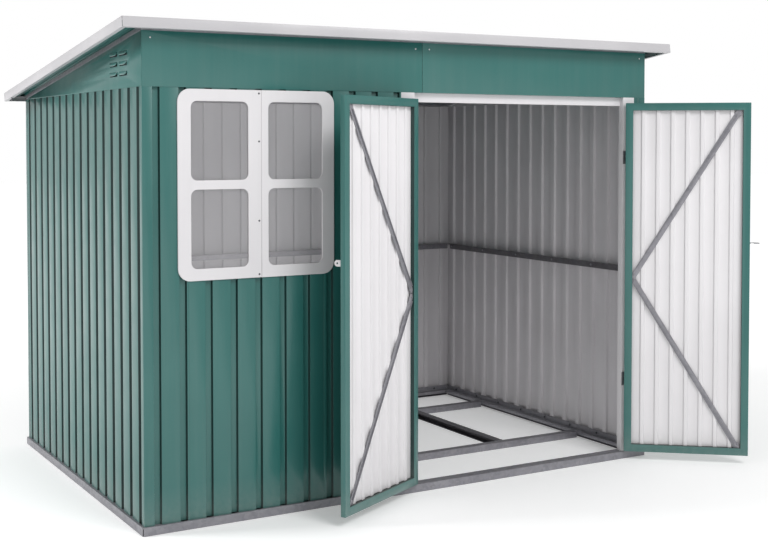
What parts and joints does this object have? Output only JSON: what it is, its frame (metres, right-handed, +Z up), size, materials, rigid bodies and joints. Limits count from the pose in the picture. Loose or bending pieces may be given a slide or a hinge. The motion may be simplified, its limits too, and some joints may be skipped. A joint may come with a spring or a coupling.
{
  "type": "metal storage shed",
  "caption": "Ribbed steel garden shed with a single-slope roof, open base frame, glazed front window and two hinged doors.",
  "frame": {"origin": "centre of the base frame's footprint, at ground level, on the underside of the middle floor joist", "axes": "+X along the front to the right as seen from outside, +Y from the front into the depth, +Z up"},
  "size_m": [2.9192, 2.1049, 1.9353],
  "materials": {
    "green_paint": "satin",
    "pale_paint": "satin",
    "white_paint": "satin",
    "zinc": "satin",
    "clear_pane": "clear"
  },
  "bodies": {
    "shed": {"base_front_rail": "zinc", "base_back_rail": "zinc", "base_left_rail": "zinc", "base_right_rail": "zinc", "floor_cross_members": "zinc", "floor_joists": "zinc", "left_wall": "green_paint", "right_wall": "green_paint", "back_wall_left_sheet": "green_paint", "back_wall_right_sheet": "green_paint", "front_wall_left_sheet": "green_paint", "front_wall_window_sheets": "green_paint", "front_wall_middle_sheet": "green_paint", "front_wall_right_sheet": "green_paint", "corner_angles": "green_paint", "door_jamb_left": "pale_paint", "door_jamb_right": "pale_paint", "door_header": "pale_paint", "fascia_left": "green_paint", "fascia_right": "green_paint", "left_gable": "green_paint", "right_gable": "green_paint", "left_wall_rail": "zinc", "right_wall_rail": "zinc", "back_wall_rail": "zinc", "roof_beams": "zinc", "roof_sheets": "pale_paint", "roof_edge_front": "pale_paint", "roof_edge_back": "pale_paint", "roof_edge_left": "pale_paint", "roof_edge_right": "pale_paint", "window_surround_left": "pale_paint", "window_surround_right": "pale_paint", "window_panes": "clear_pane", "jamb_hinges": "zinc"},
    "left_door": {"left_door_frame": "green_paint", "left_door_sheet": "white_paint", "left_door_braces": "zinc", "left_door_hinges": "zinc", "left_door_staple": "pale_paint"},
    "right_door": {"right_door_frame": "green_paint", "right_door_sheet": "white_paint", "right_door_braces": "zinc", "right_door_hinges": "zinc", "right_door_tongue": "zinc"}
  },
  "joints": [
    {"name": "left_door_hinge", "type": "hinge", "parent": "shed", "child": "left_door", "pos_m": [-0.0405, -0.845, 0.849], "axis": [0, 0, 1], "range_deg": [-8.5, 151.5]},
    {"name": "right_door_hinge", "type": "hinge", "parent": "shed", "child": "right_door", "pos_m": [1.0975, -0.845, 0.849], "axis": [0, 0, -1], "range_deg": [-19.8, 140.2]}
  ]
}
